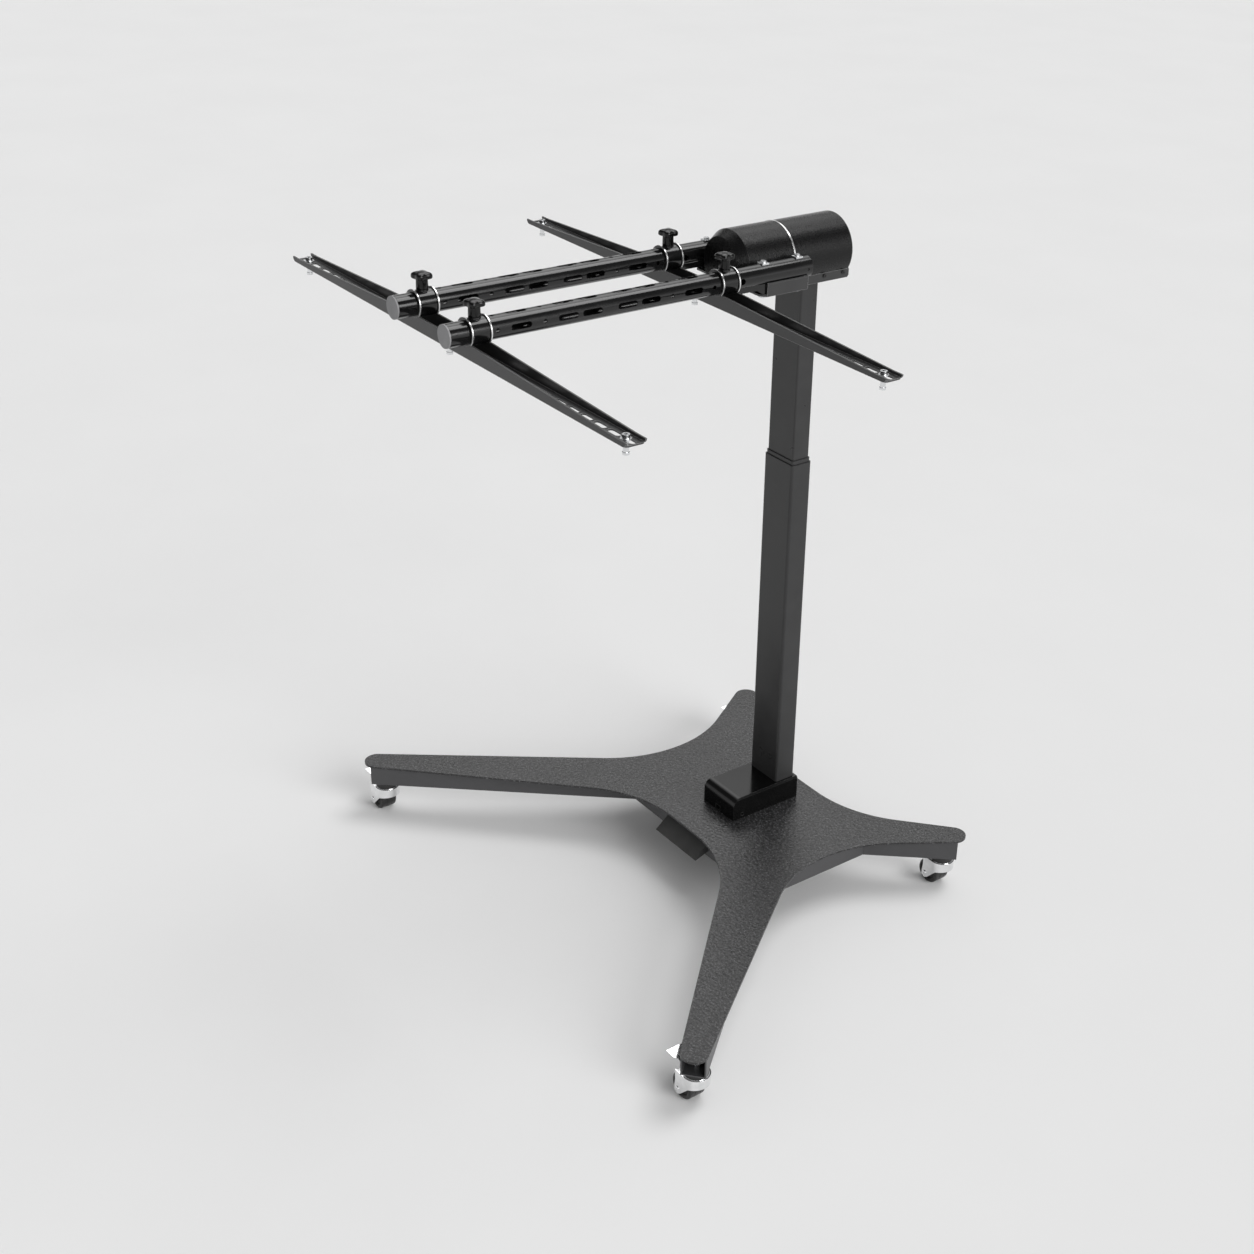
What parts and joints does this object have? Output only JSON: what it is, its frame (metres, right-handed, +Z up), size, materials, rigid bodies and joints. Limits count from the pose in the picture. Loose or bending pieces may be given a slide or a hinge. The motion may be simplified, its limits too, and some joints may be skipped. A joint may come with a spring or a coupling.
{
  "type": "motorized panel stand",
  "caption": "Rolling floor stand with a telescopic lifting column and a turning head that carries tubes and slotted cross rails for a hanging panel.",
  "frame": {"origin": "floor level, under the middle of the stand's overall footprint", "axes": "+Z up along the lifting column, -Y the way the tubes reach, +X to the right seen from the front"},
  "size_m": [1.325, 1.0935, 1.4643],
  "materials": {
    "box_grey": "matt moulding",
    "bracket_paint": "satin powder coat",
    "bright_ring": "polished",
    "cap_grey": "matt moulding",
    "chrome": "polished plating",
    "column_paint": "satin powder coat",
    "drive": "painted castings and windings",
    "frame_paint": "satin powder coat",
    "glide": "natural moulding",
    "gloss_black": "gloss moulding",
    "head_paint": "fine leather-like texture, satin",
    "matt_black": "satin moulding",
    "plate_paint": "fine-textured powder coat, matt",
    "steel": "plain",
    "tread": "satin",
    "tube_gloss": "gloss black",
    "zinc": "bright zinc plating"
  },
  "bodies": {
    "base": {"base_plate": "plate_paint", "hub_frame": "frame_paint", "front_left_arm": "frame_paint", "front_right_arm": "frame_paint", "rear_left_arm": "frame_paint", "rear_right_arm": "frame_paint", "caster_heads": "matt_black", "caster_nuts": "zinc", "foot_cover": "gloss_black", "cover_sockets": "matt_black", "column_foot": "steel", "foot_bolts": "zinc", "column_outer": "column_paint", "outer_collar": "matt_black", "lift_motor": "drive", "lift_gearbox": "drive", "lift_spindle": "steel", "control_box": "box_grey"},
    "middle_stage": {"column_middle": "column_paint", "middle_collar": "matt_black", "middle_shoe": "glide"},
    "inner_stage": {"column_inner": "column_paint", "inner_shoe": "glide", "column_top_plate": "steel", "mount_channel": "bracket_paint", "mount_screws": "matt_black", "rear_housing": "head_paint", "turn_motor": "drive", "turn_bearing": "steel"},
    "head": {"front_housing": "head_paint", "seam_ring": "bright_ring", "turn_shaft": "steel", "bracket": "bracket_paint", "tube_saddles": "tube_gloss", "left_tube": "tube_gloss", "right_tube": "tube_gloss", "tube_caps": "cap_grey", "tube_bolts": "zinc"},
    "front_rail": {"front_rail": "bracket_paint", "front_sleeves": "tube_gloss", "front_rail_bolts": "zinc"},
    "rear_rail": {"rear_rail": "bracket_paint", "rear_sleeves": "tube_gloss", "rear_rail_bolts": "zinc"},
    "front_left_knob": {"front_left_knob": "gloss_black"},
    "front_right_knob": {"front_right_knob": "gloss_black"},
    "rear_left_knob": {"rear_left_knob": "gloss_black"},
    "rear_right_knob": {"rear_right_knob": "gloss_black"},
    "front_left_caster": {"front_left_fork": "chrome"},
    "front_left_wheel": {"front_left_wheel": "tread"},
    "front_left_pedal": {"front_left_pedal": "chrome"},
    "front_right_caster": {"front_right_fork": "chrome"},
    "front_right_wheel": {"front_right_wheel": "tread"},
    "front_right_pedal": {"front_right_pedal": "chrome"},
    "rear_left_caster": {"rear_left_fork": "chrome"},
    "rear_left_wheel": {"rear_left_wheel": "tread"},
    "rear_left_pedal": {"rear_left_pedal": "chrome"},
    "rear_right_caster": {"rear_right_fork": "chrome"},
    "rear_right_wheel": {"rear_right_wheel": "tread"},
    "rear_right_pedal": {"rear_right_pedal": "chrome"}
  },
  "joints": [
    {"name": "middle_lift", "type": "slide", "parent": "base", "child": "middle_stage", "axis": [0, 0, 1], "range_m": [-0.006, 0.25]},
    {"name": "inner_lift", "type": "slide", "parent": "middle_stage", "child": "inner_stage", "axis": [0, 0, 1], "range_m": [-0.37, 0.13]},
    {"name": "head_turn", "type": "hinge", "parent": "inner_stage", "child": "head", "pos_m": [0.01549, 0.23625, 1.3975], "axis": [0, 1, 0], "range_deg": [-90, 90]},
    {"name": "front_rail_slide", "type": "slide", "parent": "head", "child": "front_rail", "axis": [0, 1, 0], "range_m": [-0.03, 0.25]},
    {"name": "rear_rail_slide", "type": "slide", "parent": "head", "child": "rear_rail", "axis": [0, 1, 0], "range_m": [-0.2, 0.003]},
    {"name": "front_left_knob_turn", "type": "hinge", "parent": "front_rail", "child": "front_left_knob", "pos_m": [-0.07411, -0.48625, 1.4375], "axis": [0, 0, 1], "range_deg": [0, 360]},
    {"name": "front_right_knob_turn", "type": "hinge", "parent": "front_rail", "child": "front_right_knob", "pos_m": [0.10509, -0.48625, 1.4375], "axis": [0, 0, 1], "range_deg": [0, 360]},
    {"name": "rear_left_knob_turn", "type": "hinge", "parent": "rear_rail", "child": "rear_left_knob", "pos_m": [-0.07411, 0.04575, 1.4375], "axis": [0, 0, 1], "range_deg": [0, 360]},
    {"name": "rear_right_knob_turn", "type": "hinge", "parent": "rear_rail", "child": "rear_right_knob", "pos_m": [0.10509, 0.04575, 1.4375], "axis": [0, 0, 1], "range_deg": [0, 360]},
    {"name": "front_left_swivel", "type": "hinge", "parent": "base", "child": "front_left_caster", "pos_m": [-0.59049, -0.36107, 0.068], "axis": [0, 0, 1], "continuous": true},
    {"name": "front_left_roll", "type": "hinge", "parent": "front_left_caster", "child": "front_left_wheel", "pos_m": [-0.61249, -0.36107, 0.029], "axis": [0, 1, 0], "continuous": true},
    {"name": "front_left_brake", "type": "hinge", "parent": "front_left_caster", "child": "front_left_pedal", "pos_m": [-0.61749, -0.36107, 0.063], "axis": [0, 1, 0], "range_deg": [-12, 0]},
    {"name": "front_right_swivel", "type": "hinge", "parent": "base", "child": "front_right_caster", "pos_m": [0.62148, -0.36107, 0.068], "axis": [0, 0, 1], "continuous": true},
    {"name": "front_right_roll", "type": "hinge", "parent": "front_right_caster", "child": "front_right_wheel", "pos_m": [0.59948, -0.36107, 0.029], "axis": [0, 1, 0], "continuous": true},
    {"name": "front_right_brake", "type": "hinge", "parent": "front_right_caster", "child": "front_right_pedal", "pos_m": [0.59448, -0.36107, 0.063], "axis": [0, 1, 0], "range_deg": [-12, 0]},
    {"name": "rear_left_swivel", "type": "hinge", "parent": "base", "child": "rear_left_caster", "pos_m": [-0.34552, 0.50354, 0.068], "axis": [0, 0, 1], "continuous": true},
    {"name": "rear_left_roll", "type": "hinge", "parent": "rear_left_caster", "child": "rear_left_wheel", "pos_m": [-0.36752, 0.50354, 0.029], "axis": [0, 1, 0], "continuous": true},
    {"name": "rear_left_brake", "type": "hinge", "parent": "rear_left_caster", "child": "rear_left_pedal", "pos_m": [-0.37252, 0.50354, 0.063], "axis": [0, 1, 0], "range_deg": [-12, 0]},
    {"name": "rear_right_swivel", "type": "hinge", "parent": "base", "child": "rear_right_caster", "pos_m": [0.3765, 0.50354, 0.068], "axis": [0, 0, 1], "continuous": true},
    {"name": "rear_right_roll", "type": "hinge", "parent": "rear_right_caster", "child": "rear_right_wheel", "pos_m": [0.3545, 0.50354, 0.029], "axis": [0, 1, 0], "continuous": true},
    {"name": "rear_right_brake", "type": "hinge", "parent": "rear_right_caster", "child": "rear_right_pedal", "pos_m": [0.3495, 0.50354, 0.063], "axis": [0, 1, 0], "range_deg": [-12, 0]}
  ]
}
